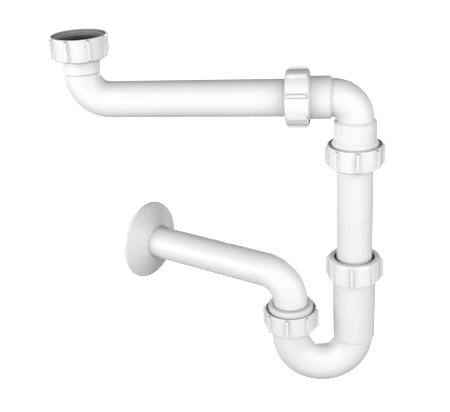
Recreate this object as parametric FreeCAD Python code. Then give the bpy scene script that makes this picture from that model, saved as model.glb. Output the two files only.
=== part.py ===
import FreeCAD, Part
import math
import os

# Tubular trap for a basin waste, 1 1/4 inch nuts on 32 mm pipe. Millimetres, +Z up.
# The origin lies on the inlet axis, on top of the flat washer in the inlet nut.
# +X runs along the horizontal pipe, from the inlet axis towards the drop axis.

# Sizes that the pieces share
PIPE_R = 16.0
PIPE_WALL = 2.0
PIPE_BORE_R = PIPE_R - PIPE_WALL
LEG_R = 17.4
LEG_WALL = 2.0
RUNNING = 0.05

# One size of thread goes round the thicker of the pipe and the trap's leg, each with its seal
PIPE_TO_THREAD = 4.25
LEG_TO_THREAD = 2.85
THREAD_R = max(PIPE_R + PIPE_TO_THREAD, LEG_R + LEG_TO_THREAD)

# Layout of the axes
DROP_X = 234.8
RUN_Z = -46.0
LEG_GAP = 58.6
LEG_AZIMUTH = 186.5
OUTLET_AZIMUTH = 153.5

# Heights set by the end of the trap's socket, where the U-bend starts
SOCKET_END_Z = -276.0
BEND_DROP = 0.1
LEG_RISE = 30.1
U_CENTRE_Z = SOCKET_END_Z - BEND_DROP

# Slip nut: heights are measured from its mouth
NUT_H = 20.0
NUT_WALL = 3.75
NUT_DRAFT = 0.5
NUT_MOUTH_STEP = 2.55
NUT_MOUTH_DEPTH = 1.5
NUT_RELIEF = 0.65
NUT_END_T = 3.0
NUT_THREAD_FROM = 2.5
NUT_THREAD_TO = 11.5
PIPE_HOLE_GAP = 2.2
LEG_HOLE_GAP = 0.8
NUT_RIM_R = THREAD_R + NUT_WALL
NUT_END_R = NUT_RIM_R - NUT_DRAFT
NUT_MOUTH_R = THREAD_R + NUT_MOUTH_STEP
NUT_RELIEF_R = THREAD_R + NUT_RELIEF
NUT_HOLE_R = max(PIPE_R + PIPE_HOLE_GAP, LEG_R + LEG_HOLE_GAP)
NUT_WALL_FROM = NUT_H - NUT_END_T

# Grip ribs of the nut
NUT_RIBS = 8
RIB_PROUD = 2.2
RIB_CREST_W = 2.2
RIB_BASE_W = 4.8
RIB_HOLLOW = 0.95
RIB_ROOT = 0.8
RIB_FROM = 1.0
RIB_NOSE = 0.9
RIB_RUN_OUT = 3.0
RIB_CREST_R = NUT_RIM_R + RIB_PROUD

# Parts of a compression joint, as heights inside the nut
SPIGOT_TIP = 11.4
SPIGOT_LIP = 1.05
SEAT_SLOPE = 0.83
SEAL_BACK = 15.2
SEAL_INSET = 0.6
RING_INSET = 0.3
SEAT_MOUTH_R = THREAD_R - SPIGOT_LIP
SEAL_R = THREAD_R - SEAL_INSET
RING_R = NUT_RELIEF_R - RING_INSET
RING_FROM = SEAL_BACK + RUNNING
RING_TO = NUT_WALL_FROM - RUNNING

# Nut positions
INLET_NUT_MOUTH_Z = 11.5
SIDE_NUT_MOUTH = 38.6
TUBE_NUT_MOUTH = 41.3
TRAP_NUT_MOUTH_Z = -214.8
OUTLET_NUT_MOUTH_Z = U_CENTRE_Z + LEG_RISE

# Rib turn of each nut about its own axis, degrees
INLET_NUT_TURN = -55.2
SIDE_NUT_TURN = 18.5
TUBE_NUT_TURN = -84.5
TRAP_NUT_TURN = -94.3
OUTLET_NUT_TURN = -93.5

# Elbow: lengths are measured from the corner where its axes meet
ELBOW_BEND = 19.3
ELBOW_TUBE_SWELL = 0.2
ELBOW_COLLAR_WALL = 2.3
ELBOW_COLLAR_FROM = 21.0
ELBOW_FLARE_FROM = 37.6
ELBOW_FLARE_TO = 40.4
ELBOW_STOP = 20.5
ELBOW_TUBE_R = PIPE_R + ELBOW_TUBE_SWELL
ELBOW_COLLAR_R = PIPE_R + ELBOW_COLLAR_WALL

# Inlet pipe, its end short of the stop in the elbow
WASHER_T = 2.5
FLANGE_T = 3.0
FLANGE_GAP = 0.15
FLANGE_R = THREAD_R - FLANGE_GAP
INLET_COLLAR_WALL = 1.4
INLET_COLLAR_R = PIPE_R + INLET_COLLAR_WALL
INLET_BEND = 22.6
INLET_SHOULDER_Z = -20.0
RUN_DRAFT = 0.25
RUN_SMALL_R = PIPE_R - RUN_DRAFT
RUN_PLAIN_FROM = 150.0
RUN_SPARE = 12.2
RUN_END = DROP_X - ELBOW_STOP - RUN_SPARE

# Drop tube, its top short of the stop in the elbow
TUBE_SPARE = 11.5
TUBE_TOP_Z = RUN_Z - ELBOW_STOP - TUBE_SPARE
TUBE_END_Z = -240.3

# Outlet pipe: collar heights, run from the leg's axis, and the plain end in the wall
OUTLET_COLLAR_RISE = 4.7
OUTLET_COLLAR_PROUD = 0.5
OUTLET_STOP = 3.0
OUTLET_NECK = 2.1
OUTLET_BEND = 26.5
OUTLET_WALL = 165.2
OUTLET_TAIL = 18.0
OUTLET_TAIL_STEP = 0.2
OUTLET_COLLAR_R = THREAD_R + OUTLET_COLLAR_PROUD
OUTLET_COLLAR_TOP_Z = OUTLET_NUT_MOUTH_Z + OUTLET_COLLAR_RISE
OUTLET_Z = OUTLET_COLLAR_TOP_Z + OUTLET_NECK + OUTLET_BEND
OUTLET_END = OUTLET_WALL + OUTLET_TAIL
OUTLET_SPIGOT_R = PIPE_R - OUTLET_TAIL_STEP

# Trap body, its leg short of the stop in the outlet pipe
SOCKET_STEP = 0.85
SOCKET_DRAFT = 0.4
SOCKET_FLOOR = 2.0
LEG_SPARE = 3.7
SOCKET_R = THREAD_R - SOCKET_STEP
SOCKET_END_R = SOCKET_R - SOCKET_DRAFT
SLEEVE_END_Z = SOCKET_END_Z + SOCKET_FLOOR
U_BORE_R = LEG_R - LEG_WALL
LEG_TOP_Z = OUTLET_COLLAR_TOP_Z - OUTLET_STOP - LEG_SPARE

# Wall flange
WALL_FLANGE_R = 38.8
WALL_FLANGE_H = 12.8

ORIGIN = FreeCAD.Vector(0, 0, 0)
X_AXIS = FreeCAD.Vector(1, 0, 0)
Z_AXIS = FreeCAD.Vector(0, 0, 1)


def turned(points):
    """Solid of revolution about Z. A point is (r, z); (r, z, rm, zm) ends an arc through rm, zm."""
    edges = []
    last = points[-1]
    for point in points:
        start = FreeCAD.Vector(last[0], 0, last[1])
        end = FreeCAD.Vector(point[0], 0, point[1])
        if len(point) == 4:
            middle = FreeCAD.Vector(point[2], 0, point[3])
            edges.append(Part.Arc(start, middle, end).toShape())
        else:
            edges.append(Part.makeLine(start, end))
        last = point
    face = Part.Face(Part.Wire(edges))
    return face.revolve(ORIGIN, Z_AXIS, 360)


def rod(r, z0, z1):
    """Round bar on the Z axis."""
    return Part.makeCylinder(r, z1 - z0, FreeCAD.Vector(0, 0, z0))


def taper(r0, r1, z0, z1):
    """Cone frustum on the Z axis."""
    return Part.makeCone(r0, r1, z1 - z0, FreeCAD.Vector(0, 0, z0))


def place(shape, at, along, turn=0.0):
    """Copy whose Z axis points along the given direction, turned about that axis first."""
    moved = shape.copy()
    moved.rotate(ORIGIN, Z_AXIS, turn)
    swing = FreeCAD.Rotation(Z_AXIS, along)
    moved.Placement = FreeCAD.Placement(at, swing).multiply(moved.Placement)
    return moved


def bend(r, start, heading, centre, degrees):
    """Bent bar: a disc at start, facing heading, swung about an axis through centre."""
    disc = Part.Face(Part.Wire(Part.makeCircle(r, start, heading)))
    axis = (start - centre).cross(heading)
    return disc.revolve(centre, axis, degrees)


def joined(shapes):
    """One solid from several that touch or overlap."""
    whole = shapes[0].fuse(shapes[1:])
    return whole.removeSplitter()


def nut_rib():
    """One grip rib with hollow flanks, its far end sloping into the rounded edge."""
    crest = RIB_CREST_W / 2
    base = RIB_BASE_W / 2
    root_r = NUT_END_R - RIB_ROOT
    corners = [
        FreeCAD.Vector(root_r, -base, 0),
        FreeCAD.Vector(NUT_END_R, -base, 0),
        FreeCAD.Vector(RIB_CREST_R - 0.3, -crest, 0),
        FreeCAD.Vector(RIB_CREST_R, -crest + 0.35, 0),
        FreeCAD.Vector(RIB_CREST_R, crest - 0.35, 0),
        FreeCAD.Vector(RIB_CREST_R - 0.3, crest, 0),
        FreeCAD.Vector(NUT_END_R, base, 0),
        FreeCAD.Vector(root_r, base, 0),
    ]
    hollow = FreeCAD.Vector(NUT_END_R + RIB_HOLLOW, -crest - 0.25, 0)
    hollow_far = FreeCAD.Vector(NUT_END_R + RIB_HOLLOW, crest + 0.25, 0)
    edges = [
        Part.makeLine(corners[0], corners[1]),
        Part.Arc(corners[1], hollow, corners[2]).toShape(),
        Part.makeLine(corners[2], corners[3]),
        Part.makeLine(corners[3], corners[4]),
        Part.makeLine(corners[4], corners[5]),
        Part.Arc(corners[5], hollow_far, corners[6]).toShape(),
        Part.makeLine(corners[6], corners[7]),
        Part.makeLine(corners[7], corners[0]),
    ]
    low = RIB_FROM + 0.2
    high = NUT_H - 0.8
    bar = Part.Face(Part.Wire(edges)).extrude(FreeCAD.Vector(0, 0, high - low))
    bar.translate(FreeCAD.Vector(0, 0, low))
    limit = turned([
        (THREAD_R, RIB_FROM),
        (RIB_CREST_R - 0.8, RIB_FROM),
        (RIB_CREST_R + 0.4, RIB_FROM + RIB_NOSE),
        (RIB_CREST_R + 0.4, NUT_H - RIB_RUN_OUT),
        (NUT_END_R - 0.3, NUT_H - 0.7),
        (THREAD_R, NUT_H - 0.7),
    ])
    return bar.common(limit)


def slip_nut(turn):
    """Ribbed nut on the Z axis, mouth at 0 and closed end at NUT_H."""
    body = turned([
        (NUT_MOUTH_R, 0.3),
        (NUT_MOUTH_R + 0.3, 0),
        (NUT_RIM_R - 0.25, 0),
        (NUT_RIM_R, 0.25),
        (NUT_END_R, NUT_H - 1.7),
        (NUT_END_R - 1.7, NUT_H, NUT_END_R - 0.5, NUT_H - 0.5),
        (NUT_HOLE_R + 0.4, NUT_H),
        (NUT_HOLE_R, NUT_H - 0.4),
        (NUT_HOLE_R, NUT_WALL_FROM),
        (NUT_RELIEF_R, NUT_WALL_FROM),
        (NUT_RELIEF_R, NUT_THREAD_TO),
        (THREAD_R, NUT_THREAD_TO),
        (THREAD_R, NUT_THREAD_FROM),
        (NUT_MOUTH_R - 0.6, NUT_MOUTH_DEPTH),
        (NUT_MOUTH_R, NUT_MOUTH_DEPTH),
    ])
    rib = nut_rib()
    ribs = []
    for index in range(NUT_RIBS):
        one = rib.copy()
        one.rotate(ORIGIN, Z_AXIS, index * 360.0 / NUT_RIBS + turn)
        ribs.append(one)
    return body.fuse(ribs).removeSplitter()


def seat_depth(bore_r):
    """Height inside the nut where the cone seat runs out into the bore."""
    return SPIGOT_TIP - (SEAT_MOUTH_R - bore_r) / SEAT_SLOPE


def seal(bore_r):
    """Rubber cone seal, heights as inside the nut, tip towards the nut's mouth."""
    tip_r = bore_r + 0.3
    gap = RUNNING / math.cos(math.atan(SEAT_SLOPE))
    tip_z = seat_depth(bore_r) + (tip_r + gap - bore_r) / SEAT_SLOPE
    back_z = seat_depth(bore_r) + (SEAL_R + gap - bore_r) / SEAT_SLOPE
    return turned([
        (bore_r, tip_z),
        (tip_r, tip_z),
        (SEAL_R, back_z),
        (SEAL_R, SEAL_BACK - 0.3),
        (SEAL_R - 0.3, SEAL_BACK),
        (bore_r, SEAL_BACK),
    ])


def slip_ring(bore_r):
    """Stiff ring that lets the nut turn without dragging the seal."""
    return turned([
        (bore_r, RING_FROM),
        (RING_R - 0.2, RING_FROM),
        (RING_R, RING_FROM + 0.2),
        (RING_R, RING_TO - 0.2),
        (RING_R - 0.2, RING_TO),
        (bore_r, RING_TO),
    ])


def seat_cutter(bore_r, beyond):
    """Bore and cone seat of a spigot whose tip lies at z = 0 and whose bore runs to -beyond."""
    depth = (SEAT_MOUTH_R - bore_r) / SEAT_SLOPE
    bore = rod(bore_r, -beyond, 0.5)
    cone = taper(bore_r, SEAT_MOUTH_R + SEAT_SLOPE * 0.5, -depth, 0.5)
    return bore.fuse(cone)


def make_washer():
    return turned([
        (PIPE_BORE_R + 0.4, -WASHER_T),
        (FLANGE_R, -WASHER_T),
        (FLANGE_R, 0),
        (PIPE_BORE_R + 0.4, 0),
    ])


def make_inlet_pipe():
    flange_top = -WASHER_T
    flange_under = flange_top - FLANGE_T
    bend_top = RUN_Z + INLET_BEND
    centre = FreeCAD.Vector(INLET_BEND, 0, bend_top)
    start = FreeCAD.Vector(0, 0, bend_top)
    down = FreeCAD.Vector(0, 0, -1)
    head = turned([
        (0, bend_top),
        (RUN_SMALL_R, bend_top),
        (RUN_SMALL_R, INLET_SHOULDER_Z - 0.9),
        (INLET_COLLAR_R, INLET_SHOULDER_Z),
        (INLET_COLLAR_R, flange_under),
        (FLANGE_R - 0.3, flange_under),
        (FLANGE_R, flange_under + 0.3),
        (FLANGE_R, flange_top),
        (0, flange_top),
    ])
    draft = taper(RUN_SMALL_R, PIPE_R, INLET_BEND, RUN_PLAIN_FROM)
    plain = turned([
        (0, RUN_PLAIN_FROM),
        (PIPE_R, RUN_PLAIN_FROM),
        (PIPE_R, RUN_END - 1.0),
        (PIPE_R - 0.6, RUN_END),
        (0, RUN_END),
    ])
    run = place(draft.fuse(plain), FreeCAD.Vector(0, 0, RUN_Z), X_AXIS)
    bores = [
        rod(PIPE_BORE_R, bend_top, 1.0),
        bend(PIPE_BORE_R, start, down, centre, 90),
        place(rod(PIPE_BORE_R, INLET_BEND, RUN_END + 1.0), FreeCAD.Vector(0, 0, RUN_Z), X_AXIS),
    ]
    lengths = [head, bend(RUN_SMALL_R, start, down, centre, 90), run]
    return joined([whole.cut(bore) for whole, bore in zip(lengths, bores)])


def elbow_leg(tip):
    """Outside of one elbow leg, pointing along +Z from the meeting point of the axes."""
    skin = THREAD_R - RUNNING
    return turned([
        (0, ELBOW_BEND),
        (ELBOW_TUBE_R, ELBOW_BEND),
        (ELBOW_COLLAR_R - 0.4, ELBOW_COLLAR_FROM - 0.3),
        (ELBOW_COLLAR_R, ELBOW_COLLAR_FROM + 0.2),
        (ELBOW_COLLAR_R, ELBOW_FLARE_FROM),
        (skin, ELBOW_FLARE_TO),
        (skin, tip - 0.5),
        (skin - 0.5, tip),
        (0, tip),
    ])


def make_elbow():
    corner = FreeCAD.Vector(DROP_X, 0, RUN_Z)
    back = FreeCAD.Vector(-1, 0, 0)
    down = FreeCAD.Vector(0, 0, -1)
    side_tip = SIDE_NUT_MOUTH + SPIGOT_TIP
    tube_tip = TUBE_NUT_MOUTH + SPIGOT_TIP
    start = corner + FreeCAD.Vector(-ELBOW_BEND, 0, 0)
    centre = corner + FreeCAD.Vector(-ELBOW_BEND, 0, -ELBOW_BEND)
    side = place(elbow_leg(side_tip), corner, back)
    lower = place(elbow_leg(tube_tip), corner, down)
    outside = joined([bend(ELBOW_TUBE_R, start, X_AXIS, centre, 90), side, lower])
    bore_r = PIPE_R + RUNNING
    side_bore = place(seat_cutter(bore_r, side_tip - ELBOW_STOP), corner + back * side_tip, back)
    lower_bore = place(seat_cutter(bore_r, tube_tip - ELBOW_STOP), corner + down * tube_tip, down)
    hollow = joined([
        bend(PIPE_BORE_R, start, X_AXIS, centre, 90),
        place(rod(PIPE_BORE_R, ELBOW_BEND, ELBOW_STOP + 1.0), corner, back),
        place(rod(PIPE_BORE_R, ELBOW_BEND, ELBOW_STOP + 1.0), corner, down),
        side_bore,
        lower_bore,
    ])
    return outside.cut(hollow)


def make_drop_tube():
    tube = turned([
        (PIPE_BORE_R, TUBE_END_Z),
        (PIPE_R - 0.6, TUBE_END_Z),
        (PIPE_R, TUBE_END_Z + 1.0),
        (PIPE_R, TUBE_TOP_Z - 1.0),
        (PIPE_R - 0.6, TUBE_TOP_Z),
        (PIPE_BORE_R, TUBE_TOP_Z),
    ])
    tube.translate(FreeCAD.Vector(DROP_X, 0, 0))
    return tube


def leg_point(z):
    """Point on the trap's rising leg at height z."""
    turn = math.radians(LEG_AZIMUTH)
    return FreeCAD.Vector(DROP_X + LEG_GAP * math.cos(turn), LEG_GAP * math.sin(turn), z)


def make_trap_body():
    tip = TRAP_NUT_MOUTH_Z + SPIGOT_TIP
    skin = THREAD_R - RUNNING
    drop = FreeCAD.Vector(DROP_X, 0, 0)
    start = FreeCAD.Vector(DROP_X, 0, U_CENTRE_Z)
    centre = (start + leg_point(U_CENTRE_Z)) * 0.5
    down = FreeCAD.Vector(0, 0, -1)
    socket = turned([
        (0, SOCKET_END_Z - 2.6),
        (SOCKET_END_R - 3.6, SOCKET_END_Z - 2.6),
        (SOCKET_END_R, SOCKET_END_Z),
        (SOCKET_R, TRAP_NUT_MOUTH_Z - 1.2),
        (skin, TRAP_NUT_MOUTH_Z - 0.4),
        (skin, tip - 0.5),
        (skin - 0.5, tip),
        (0, tip),
    ])
    socket.translate(drop)
    leg = turned([
        (0, U_CENTRE_Z),
        (LEG_R, U_CENTRE_Z),
        (LEG_R, LEG_TOP_Z - 1.0),
        (LEG_R - 0.6, LEG_TOP_Z),
        (0, LEG_TOP_Z),
    ])
    leg.translate(leg_point(0))
    outside = joined([socket, bend(LEG_R, start, down, centre, 180), leg])
    bore_r = PIPE_R + RUNNING
    sleeve = seat_cutter(bore_r, tip - SLEEVE_END_Z)
    sleeve.translate(drop + FreeCAD.Vector(0, 0, tip))
    throat = taper(U_BORE_R, bore_r, U_CENTRE_Z, SLEEVE_END_Z)
    throat.translate(drop)
    rise = rod(U_BORE_R, U_CENTRE_Z, LEG_TOP_Z + 1.0)
    rise.translate(leg_point(0))
    hollow = joined([sleeve, throat, bend(U_BORE_R, start, down, centre, 180), rise])
    return outside.cut(hollow)


def outlet_heading():
    turn = math.radians(OUTLET_AZIMUTH)
    return FreeCAD.Vector(math.cos(turn), math.sin(turn), 0)


def make_outlet_pipe():
    tip = OUTLET_NUT_MOUTH_Z - SPIGOT_TIP
    skin = THREAD_R - RUNNING
    bore_r = LEG_R + RUNNING
    heading = outlet_heading()
    foot = leg_point(0)
    bend_foot = OUTLET_Z - OUTLET_BEND
    start = leg_point(bend_foot)
    centre = start + heading * OUTLET_BEND
    collar = turned([
        (0, tip),
        (skin - 0.5, tip),
        (skin, tip + 0.5),
        (skin, OUTLET_NUT_MOUTH_Z - 1.6),
        (OUTLET_COLLAR_R, OUTLET_NUT_MOUTH_Z - 0.8),
        (OUTLET_COLLAR_R, OUTLET_COLLAR_TOP_Z - 0.4),
        (OUTLET_COLLAR_R - 0.4, OUTLET_COLLAR_TOP_Z),
        (PIPE_R, OUTLET_COLLAR_TOP_Z),
        (PIPE_R, bend_foot),
        (0, bend_foot),
    ])
    collar.translate(foot)
    run = turned([
        (0, OUTLET_BEND),
        (PIPE_R, OUTLET_BEND),
        (PIPE_R, OUTLET_WALL),
        (OUTLET_SPIGOT_R, OUTLET_WALL),
        (OUTLET_SPIGOT_R, OUTLET_END - 1.0),
        (OUTLET_SPIGOT_R - 0.6, OUTLET_END),
        (0, OUTLET_END),
    ])
    run = place(run, leg_point(OUTLET_Z), heading)
    outside = joined([collar, bend(PIPE_R, start, Z_AXIS, centre, 90), run])
    stop = OUTLET_COLLAR_TOP_Z - OUTLET_STOP
    socket = place(seat_cutter(bore_r, stop - tip), leg_point(tip), -Z_AXIS)
    throat = rod(PIPE_BORE_R, stop - 1.0, bend_foot)
    throat.translate(foot)
    bore = place(rod(PIPE_BORE_R, OUTLET_BEND, OUTLET_END + 1.0), leg_point(OUTLET_Z), heading)
    hollow = joined([socket, throat, bend(PIPE_BORE_R, start, Z_AXIS, centre, 90), bore])
    return outside.cut(hollow)


def make_wall_flange():
    """Hollow cover with a short sleeve round the pipe, its rim flat against the wall."""
    hole = PIPE_R + RUNNING
    shell = turned([
        (hole, 6.5),
        (hole + 1.6, 6.5),
        (hole + 1.9, WALL_FLANGE_H - 3.3),
        (WALL_FLANGE_R - 2.8, 1.5),
        (WALL_FLANGE_R - 1.8, 0.9),
        (WALL_FLANGE_R - 1.8, 0),
        (WALL_FLANGE_R, 0),
        (WALL_FLANGE_R, 0.9),
        (WALL_FLANGE_R - 2.1, 3.0, WALL_FLANGE_R - 0.615, 2.385),
        (hole + 1.3, WALL_FLANGE_H - 0.8),
        (hole + 0.5, WALL_FLANGE_H, hole + 1.07, WALL_FLANGE_H - 0.23),
        (hole, WALL_FLANGE_H),
    ])
    heading = outlet_heading()
    back = heading * -1.0
    return place(shell, leg_point(OUTLET_Z) + heading * OUTLET_WALL, back)


def export(name, shape):
    shape.exportStep("parts/" + name + ".step")
    print(name, "solids", len(shape.Solids), "valid", shape.isValid(), "mm3", round(shape.Volume, 1))


os.makedirs("parts", exist_ok=True)

UP = FreeCAD.Vector(0, 0, 1)
DOWN = FreeCAD.Vector(0, 0, -1)
BACK = FreeCAD.Vector(-1, 0, 0)
CORNER = FreeCAD.Vector(DROP_X, 0, RUN_Z)
PIPE_HOLE = PIPE_R + RUNNING
LEG_HOLE = LEG_R + RUNNING

# Each joint: nut mouth, direction from mouth to closed end, rib turn and bore of its rings
INLET_AT = FreeCAD.Vector(0, 0, INLET_NUT_MOUTH_Z)
SIDE_AT = CORNER + BACK * SIDE_NUT_MOUTH
TUBE_AT = CORNER + DOWN * TUBE_NUT_MOUTH
TRAP_AT = FreeCAD.Vector(DROP_X, 0, TRAP_NUT_MOUTH_Z)
OUTLET_AT = leg_point(OUTLET_NUT_MOUTH_Z)

export("inlet_nut", place(slip_nut(-INLET_NUT_TURN), INLET_AT, DOWN))
export("inlet_washer", make_washer())
export("inlet_pipe", make_inlet_pipe())
export("side_nut", place(slip_nut(SIDE_NUT_TURN), SIDE_AT, BACK))
export("side_ring", place(slip_ring(PIPE_HOLE), SIDE_AT, BACK))
export("side_seal", place(seal(PIPE_HOLE), SIDE_AT, BACK))
export("elbow", make_elbow())
export("tube_nut", place(slip_nut(-TUBE_NUT_TURN), TUBE_AT, DOWN))
export("tube_ring", place(slip_ring(PIPE_HOLE), TUBE_AT, DOWN))
export("tube_seal", place(seal(PIPE_HOLE), TUBE_AT, DOWN))
export("drop_tube", make_drop_tube())
export("trap_nut", place(slip_nut(TRAP_NUT_TURN), TRAP_AT, UP))
export("trap_ring", place(slip_ring(PIPE_HOLE), TRAP_AT, UP))
export("trap_seal", place(seal(PIPE_HOLE), TRAP_AT, UP))
export("trap_body", make_trap_body())
export("outlet_nut", place(slip_nut(-OUTLET_NUT_TURN), OUTLET_AT, DOWN))
export("outlet_ring", place(slip_ring(LEG_HOLE), OUTLET_AT, DOWN))
export("outlet_seal", place(seal(LEG_HOLE), OUTLET_AT, DOWN))
export("outlet_pipe", make_outlet_pipe())
export("wall_flange", make_wall_flange())
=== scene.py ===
import math

import bmesh
import bpy
from mathutils import Matrix, Vector


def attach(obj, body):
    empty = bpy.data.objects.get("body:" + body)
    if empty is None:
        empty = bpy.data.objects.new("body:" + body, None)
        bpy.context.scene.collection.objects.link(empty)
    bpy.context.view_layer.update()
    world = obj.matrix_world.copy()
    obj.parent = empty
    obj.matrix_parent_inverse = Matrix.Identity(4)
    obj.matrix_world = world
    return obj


# Looks of a tubular trap: moulded plastic, rubber seals, the threads of the open nut and of the
# four spigots, a pale floor, soft studio light and the photograph's camera. Metres, in the frame
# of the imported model.

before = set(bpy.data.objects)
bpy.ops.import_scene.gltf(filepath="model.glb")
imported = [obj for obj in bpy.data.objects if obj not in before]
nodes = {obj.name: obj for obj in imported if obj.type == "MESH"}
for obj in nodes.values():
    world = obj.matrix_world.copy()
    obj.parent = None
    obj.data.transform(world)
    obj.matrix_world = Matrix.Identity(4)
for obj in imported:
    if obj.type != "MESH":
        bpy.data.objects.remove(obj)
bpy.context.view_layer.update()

# The camera, from the photograph
CAMERA_AT = (0.23642, -0.73640, 0.17017)
CAMERA_YAW = 9.075
CAMERA_PITCH = -23.027
CAMERA_ROLL = -3.074
CAMERA_LENS = 71.73
CAMERA_SENSOR = 36.0
CAMERA_CLIP = (0.01, 50.0)

# Light: each lamp's name, azimuth, elevation, distance, width, height and power
WORLD_LEVEL = 0.03
LAMP_TARGET = Vector((0.12, 0.0, -0.16))
LAMPS = (
    ("left_lamp", -60, 8, 1.5, 0.9, 0.9, 14.3),
    ("front_lamp", -30, 8, 1.5, 0.9, 0.9, 5.2),
    ("right_lamp", 60, 8, 1.5, 0.9, 0.9, 11.8),
    ("right_top", 40, 40, 1.5, 0.9, 0.9, 7.7),
    ("front_top", -20, 40, 1.5, 0.9, 0.9, 3.2),
    ("side_low", -120, 0, 1.5, 0.9, 0.5, 6.8),
    ("back_low", 180, -9, 1.1, 0.9, 0.2, 9.2),
)

# Colours, as linear values. The nuts' white is the pipes' white painted lighter, as painted light,
# on every nut but the open one, and the flange's white is it painted darker, as painted shade
WHITE = (1.0, 1.0, 1.0, 1.0)
PIPE_WHITE = (0.92, 0.92, 0.92)
NUT_LIT_WHITE = (0.97, 0.97, 0.97)
FLANGE_SHADED_WHITE = (0.86, 0.86, 0.86)
# The rings' near black is painted shade, for the dark gaps round the pipes in the nuts' holes
RING_BLACK = (0.020, 0.020, 0.021)
RUBBER_BLACK = (0.025, 0.025, 0.026)
FLOOR_WHITE = (0.60, 0.60, 0.60)

# Noises: scale in features a metre, detail and roughness. Their middle is where they mostly lie
NOISE_MIDDLE = (0.35, 0.65)
FLOW_CLOUDS = (22.0, 3.0, 0.5)
GLOSS_CLOUDS = (60.0, 4.0, 0.5)
PLASTIC_PEEL = (1500.0, 3.0, 0.6)
RUBBER_BLOOM = (240.0, 4.0, 0.65)
RUBBER_SKIN = (1800.0, 2.0, 0.5)
FLOOR_CLOUDS = (6.0, 2.0, 0.5)

# What the noises do: shades of a colour, shifts or ends of a roughness, heights of a bump
FLOW_SHADE = 0.994
GLOSS_SHIFT = (-0.03, 0.04)
PEEL_HEIGHT = 0.000007
BLOOM_SHADE = 0.6
BLOOM_ROUGHNESS = (0.62, 0.80)
SKIN_HEIGHT = 0.00003
FLOOR_SHADE = 0.99

# Painted shade and painted highlight of plastic, multiplied into its colour: how far it looks for
# other surfaces, the openness from shaded to plain and the shade. A finish sets the reach and the
# painted shade of its hollows
SKY_SAMPLES = 4
HOLLOW_OPEN = (0.05, 0.85)
CREASE_REACH = 0.0015
CREASE_OPEN = (0.30, 0.95)
CREASE_PAINTED_SHADE = 0.15
# Painted highlight on convex edges
EDGE_REACH = 0.0010
EDGE_OPEN = (0.45, 0.95)
EDGE_HIGHLIGHT = 1.03

# The open nut's inside: within this radius of Z, painted shade goes from the first to the second
# over the heights, darker towards the bottom
OPEN_NUT_R = 0.0229
INNER_Z = (0.0035, 0.0115)
INNER_PAINTED_SHADE = (0.02, 0.66)

# Threads, 1 1/4 inch with 11 turns to the inch. A ridge stands proud of each plain thread cylinder
THREAD_PITCH = 0.002309
NUT_THREAD_R = 0.02025
NUT_RIDGE = -0.00072
NUT_RIDGE_SPAN = (0.0011, 0.0079)
SPIGOT_THREAD_R = 0.0202
SPIGOT_RIDGE = 0.00045
SPIGOT_RIDGE_SPAN = (-0.0101, -0.0014)
RIDGE_SINK = 0.0001
RIDGE_FOOT = 0.0019
RIDGE_CREST = 0.00024
RIDGE_FADE = 0.12
STEPS_A_TURN = 120

# Threaded spigots: the node, the ridge's name, the centre of the tip and the way out of it
SPIGOTS = (
    ("elbow", "side_spigot_thread", (0.1848, 0.0, -0.046), (-1, 0, 0)),
    ("elbow", "tube_spigot_thread", (0.2348, 0.0, -0.0987), (0, 0, -1)),
    ("trap_body", "trap_spigot_thread", (0.2348, 0.0, -0.2034), (0, 0, 1)),
    ("outlet_pipe", "outlet_spigot_thread", (0.17658, -0.00663, -0.2574), (0, 0, -1)),
)

# The floor: height, half of its width, and how bright its lift to white is
FLOOR_Z = -0.46
FLOOR_HALF = 8.0
FLOOR_LIFT = 0.97


def set_camera():
    """The photograph's camera: place, direction and lens."""
    data = bpy.data.cameras.new("photo_camera")
    data.lens = CAMERA_LENS
    data.sensor_width = CAMERA_SENSOR
    data.clip_start, data.clip_end = CAMERA_CLIP
    camera = bpy.data.objects.new("photo_camera", data)
    turn = Matrix.Rotation(math.radians(CAMERA_YAW), 4, "Z")
    tilt = Matrix.Rotation(math.radians(90.0 + CAMERA_PITCH), 4, "X")
    roll = Matrix.Rotation(math.radians(CAMERA_ROLL), 4, "Z")
    camera.matrix_world = Matrix.Translation(CAMERA_AT) @ turn @ tilt @ roll
    bpy.context.scene.collection.objects.link(camera)
    bpy.context.scene.camera = camera


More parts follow.
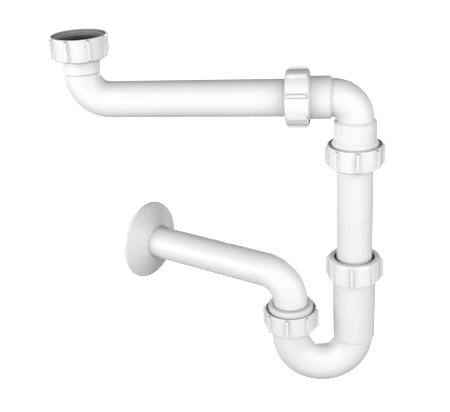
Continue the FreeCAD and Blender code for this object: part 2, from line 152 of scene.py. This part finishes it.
class Nodes:
    """Short calls that add shader nodes to a material or world and join them."""

    def __init__(self, owner):
        owner.use_nodes = True
        self.tree = owner.node_tree
        self.tree.nodes.clear()

    def add(self, kind, inputs=None, **settings):
        node = self.tree.nodes.new(kind)
        for name, value in settings.items():
            setattr(node, name, value)
        for name, value in (inputs or {}).items():
            self.feed(node.inputs[name], value)
        return node

    def feed(self, socket, value):
        """A socket of another node is linked; anything else is the socket's own value."""
        if isinstance(value, bpy.types.NodeSocket):
            self.tree.links.new(value, socket)
        else:
            socket.default_value = value

    def coords(self):
        """The piece's own coordinates, in metres."""
        return self.add("ShaderNodeTexCoord").outputs["Object"]

    def math(self, operation, *values):
        node = self.add("ShaderNodeMath", operation=operation)
        for socket, value in zip(node.inputs, values):
            self.feed(socket, value)
        return node.outputs[0]

    def product(self, first, *others):
        for value in others:
            first = self.math("MULTIPLY", first, value)
        return first

    def remap(self, value, source, target):
        """The value, stretched so that the span source becomes the span target."""
        inputs = {"Value": value, "From Min": source[0], "From Max": source[1]}
        inputs.update({"To Min": target[0], "To Max": target[1]})
        return self.add("ShaderNodeMapRange", inputs).outputs["Result"]

    def noise(self, coords, scale, detail, roughness):
        inputs = {"Vector": coords, "Scale": scale, "Detail": detail, "Roughness": roughness}
        return self.add("ShaderNodeTexNoise", inputs).outputs["Fac"]

    def spread(self, value, low, high):
        """The middle of a noise, stretched to run from low to high."""
        return self.remap(value, NOISE_MIDDLE, (low, high))

    def tint(self, factor, colour, shade):
        """The colour, mixed with itself times shade where factor is 0."""
        darker = tuple(c * shade for c in colour) + (1.0,)
        node = self.add("ShaderNodeMix", data_type="RGBA")
        self.feed(node.inputs["Factor"], factor)
        self.feed(node.inputs[6], darker)
        self.feed(node.inputs[7], colour + (1.0,))
        return node.outputs[2]

    def painted_openness(self, reach, span, shade, **kind):
        """A factor for a colour: 1 on open surfaces, going to shade where other surfaces stand
        within reach, as painted shade, and as a painted highlight where shade is above 1.
        """
        inputs = {"Distance": reach}
        sky = self.add("ShaderNodeAmbientOcclusion", inputs, samples=SKY_SAMPLES, **kind)
        return self.remap(sky.outputs["AO"], span, (shade, 1.0))

    def looked_at(self):
        """1 for rays from the camera, in reflections and through glass, and 0 for light."""
        path = self.add("ShaderNodeLightPath").outputs
        direct = self.math("MAXIMUM", path["Is Camera Ray"], path["Is Transmission Ray"])
        return self.math("MAXIMUM", direct, path["Is Glossy Ray"])

    def bump(self, height, distance):
        inputs = {"Height": height, "Distance": distance, "Strength": 1.0}
        return self.add("ShaderNodeBump", inputs).outputs["Normal"]


def plastic(name, colour, roughness, reach, shade, painted_shade_r=0.0):
    """Injection-moulded plastic: faint flow clouds, a fine peel, painted shade in hollows, in
    creases and between parts, painted highlights on edges, and painted shade on the walls inside a
    given radius about Z, darker towards the bottom."""
    material = bpy.data.materials.new(name)
    t = Nodes(material)
    coords = t.coords()
    clouds = t.noise(coords, *FLOW_CLOUDS)
    peel = t.noise(coords, *PLASTIC_PEEL)
    # Painted shade in hollows, between parts and in creases, and a painted highlight on edges, all
    # multiplied into the colour
    hollow_shade = t.painted_openness(reach, HOLLOW_OPEN, shade)
    crease_shade = t.painted_openness(CREASE_REACH, CREASE_OPEN, CREASE_PAINTED_SHADE, only_local=True)
    edge_highlight = t.painted_openness(EDGE_REACH, EDGE_OPEN, EDGE_HIGHLIGHT, inside=True, only_local=True)
    value = t.product(t.spread(clouds, FLOW_SHADE, 1.0), hollow_shade, crease_shade, edge_highlight)
    # Painted shade on the open nut's inside, darker towards the bottom
    if painted_shade_r:
        split = t.add("ShaderNodeSeparateXYZ", {"Vector": coords}).outputs
        x_square = t.math("MULTIPLY", split["X"], split["X"])
        y_square = t.math("MULTIPLY", split["Y"], split["Y"])
        square = t.math("ADD", x_square, y_square)
        inside = t.math("LESS_THAN", square, painted_shade_r * painted_shade_r)
        depth_shade = t.remap(split["Z"], INNER_Z, [inner - 1.0 for inner in INNER_PAINTED_SHADE])
        value = t.product(value, t.math("MULTIPLY_ADD", inside, depth_shade, 1.0))
    paint = t.add("ShaderNodeVectorMath", {"Vector": colour, "Scale": value}, operation="SCALE")
    gloss = t.noise(coords, *GLOSS_CLOUDS)
    shader = t.add("ShaderNodeBsdfPrincipled", {
        "Base Color": paint.outputs["Vector"],
        "Roughness": t.spread(gloss, *[roughness + shift for shift in GLOSS_SHIFT]),
        "IOR": 1.49,
        "Specular IOR Level": 0.5,
        "Normal": t.bump(peel, PEEL_HEIGHT),
        "Coat Weight": 1.0,
        "Coat Roughness": 0.4,
        "Coat IOR": 1.02,
        "Coat Tint": (0.85, 0.85, 0.85, 1.0),
    })
    t.add("ShaderNodeOutputMaterial", {"Surface": shader.outputs["BSDF"]})
    return material


def rubber(name, colour):
    """Moulded rubber: near black, dull, with a chalky bloom in patches."""
    material = bpy.data.materials.new(name)
    t = Nodes(material)
    coords = t.coords()
    bloom = t.noise(coords, *RUBBER_BLOOM)
    skin = t.noise(coords, *RUBBER_SKIN)
    shader = t.add("ShaderNodeBsdfPrincipled", {
        "Base Color": t.tint(t.spread(bloom, 0.0, 1.0), colour, BLOOM_SHADE),
        "Roughness": t.spread(bloom, *BLOOM_ROUGHNESS),
        "Specular IOR Level": 0.15,
        "Normal": t.bump(skin, SKIN_HEIGHT),
    })
    t.add("ShaderNodeOutputMaterial", {"Surface": shader.outputs["BSDF"]})
    return material


def dress(material, *names):
    """The material on every slot of the named CAD nodes."""
    for name in names:
        mesh = nodes[name].data
        if not mesh.materials:
            mesh.materials.append(material)
        for index in range(len(mesh.materials)):
            mesh.materials[index] = material


def add_mesh(name, bm, material):
    """An object in the scene, made from the bmesh."""
    mesh = bpy.data.meshes.new(name)
    bm.to_mesh(mesh)
    bm.free()
    mesh.materials.append(material)
    piece = bpy.data.objects.new(name, mesh)
    bpy.context.scene.collection.objects.link(piece)
    return piece


def thread_ridge(name, radius, stand, span, material, tip=(0, 0, 0), along=(0, 0, 1)):
    """A right-hand helical ridge, faded out at both ends. It runs over the span along the axis,
    inwards from the radius where stand is below 0 and outwards where it is above."""
    sink = -math.copysign(RIDGE_SINK, stand)
    foot, crest = RIDGE_FOOT / 2, RIDGE_CREST / 2
    profile = [(0, sink, -foot), (1, 0.0, -crest), (1, 0.0, crest), (0, sink, foot)]
    turns = (span[1] - span[0]) / THREAD_PITCH
    steps = int(turns * STEPS_A_TURN)
    swing = Vector((0, 0, 1)).rotation_difference(Vector(along))
    bm = bmesh.new()
    rows = []
    for step in range(steps + 1):
        share = step / steps
        fade = min(1.0, share * turns / RIDGE_FADE, (1.0 - share) * turns / RIDGE_FADE)
        angle = share * turns * 2 * math.pi
        rise = span[0] + share * turns * THREAD_PITCH
        row = []
        for proud, sunk, dz in profile:
            r = radius + sunk + proud * stand * fade
            point = Vector((r * math.cos(angle), r * math.sin(angle), rise + dz))
            row.append(bm.verts.new(swing @ point + Vector(tip)))
        rows.append(row)
    for row, after in zip(rows, rows[1:]):
        for corners in zip(row, row[1:] + row[:1], after[1:] + after[:1], after):
            bm.faces.new(corners)
    bm.faces.new(rows[0])
    bm.faces.new(rows[-1])
    bmesh.ops.recalc_face_normals(bm, faces=bm.faces)
    return add_mesh(name, bm, material)


def lamp(name, azimuth, elevation, distance, width, height, power):
    """A soft lamp aimed at the object. Azimuth 0 is on the camera's side, 90 on the right."""
    data = bpy.data.lights.new(name, "AREA")
    data.shape = "RECTANGLE"
    data.size = width
    data.size_y = height
    data.energy = power
    light = bpy.data.objects.new(name, data)
    a, e = math.radians(azimuth), math.radians(elevation)
    back = Vector((math.sin(a) * math.cos(e), -math.cos(a) * math.cos(e), math.sin(e)))
    light.location = LAMP_TARGET + back * distance
    light.rotation_mode = "QUATERNION"
    light.rotation_quaternion = (-back).to_track_quat("-Z", "Y")
    light.visible_camera = False
    bpy.context.scene.collection.objects.link(light)


def set_world(level):
    """Even light from all round, seen by the camera and in reflections as white."""
    world = bpy.data.worlds.new("studio")
    t = Nodes(world)
    light = t.add("ShaderNodeBackground", {
        "Color": WHITE,
        "Strength": t.remap(t.looked_at(), (0.0, 1.0), (level, 1.0)),
    })
    t.add("ShaderNodeOutputWorld", {"Surface": light.outputs["Background"]})
    bpy.context.scene.world = world


def make_floor():
    """A plain pale floor. What the camera sees of it is lifted to white where no shadow falls."""
    material = bpy.data.materials.new("floor_paint")
    t = Nodes(material)
    clouds = t.noise(t.coords(), *FLOOR_CLOUDS)
    paint = t.add("ShaderNodeBsdfDiffuse", {
        "Color": t.tint(t.spread(clouds, 0.0, 1.0), FLOOR_WHITE, FLOOR_SHADE),
        "Roughness": 0.5,
    })
    lift = t.add("ShaderNodeEmission", {
        "Color": WHITE,
        "Strength": t.math("MULTIPLY", t.looked_at(), FLOOR_LIFT),
    })
    both = t.add("ShaderNodeAddShader")
    t.feed(both.inputs[0], paint.outputs["BSDF"])
    t.feed(both.inputs[1], lift.outputs["Emission"])
    t.add("ShaderNodeOutputMaterial", {"Surface": both.outputs["Shader"]})
    bm = bmesh.new()
    corners = [(-1, -1), (1, -1), (1, 1), (-1, 1)]
    bm.faces.new([bm.verts.new((x * FLOOR_HALF, y * FLOOR_HALF, FLOOR_Z)) for x, y in corners])
    floor = add_mesh("floor", bm, material)


# Camera and light
set_camera()
bpy.context.scene.view_settings.view_transform = "Standard"
set_world(WORLD_LEVEL)
for settings in LAMPS:
    lamp(*settings)
make_floor()

# Finishes. Each sets the reach and the painted shade of its hollows
pipe_plastic = plastic("pipe_plastic", PIPE_WHITE, roughness=0.38, reach=0.006, shade=0.85)
flange_plastic = plastic("flange_plastic", FLANGE_SHADED_WHITE, roughness=0.38, reach=0.003, shade=0.15)
nut_plastic = plastic("nut_plastic", NUT_LIT_WHITE, roughness=0.40, reach=0.012, shade=0.45)
open_nut_plastic = plastic(
    "open_nut_plastic", PIPE_WHITE, roughness=0.40, reach=0.020, shade=0.30, painted_shade_r=OPEN_NUT_R)
ring_plastic = plastic("ring_plastic", RING_BLACK, roughness=0.45, reach=0.005, shade=0.60)
seal_rubber = rubber("seal_rubber", RUBBER_BLACK)
dress(pipe_plastic, "inlet_pipe", "elbow", "drop_tube", "trap_body", "outlet_pipe")
dress(flange_plastic, "wall_flange")
dress(open_nut_plastic, "inlet_nut")
dress(nut_plastic, "side_nut", "tube_nut", "trap_nut", "outlet_nut")
dress(ring_plastic, "side_ring", "tube_ring", "trap_ring", "outlet_ring")
dress(seal_rubber, "inlet_washer", "side_seal", "tube_seal", "trap_seal", "outlet_seal")

# Threads of the open nut and of the spigots
thread = thread_ridge("inlet_nut_thread", NUT_THREAD_R, NUT_RIDGE, NUT_RIDGE_SPAN, open_nut_plastic)
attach(thread, "inlet_nut")
for node, name, tip, along in SPIGOTS:
    thread = thread_ridge(
        name, SPIGOT_THREAD_R, SPIGOT_RIDGE, SPIGOT_RIDGE_SPAN, pipe_plastic, tip, along)
    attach(thread, node)

bpy.context.view_layer.update()
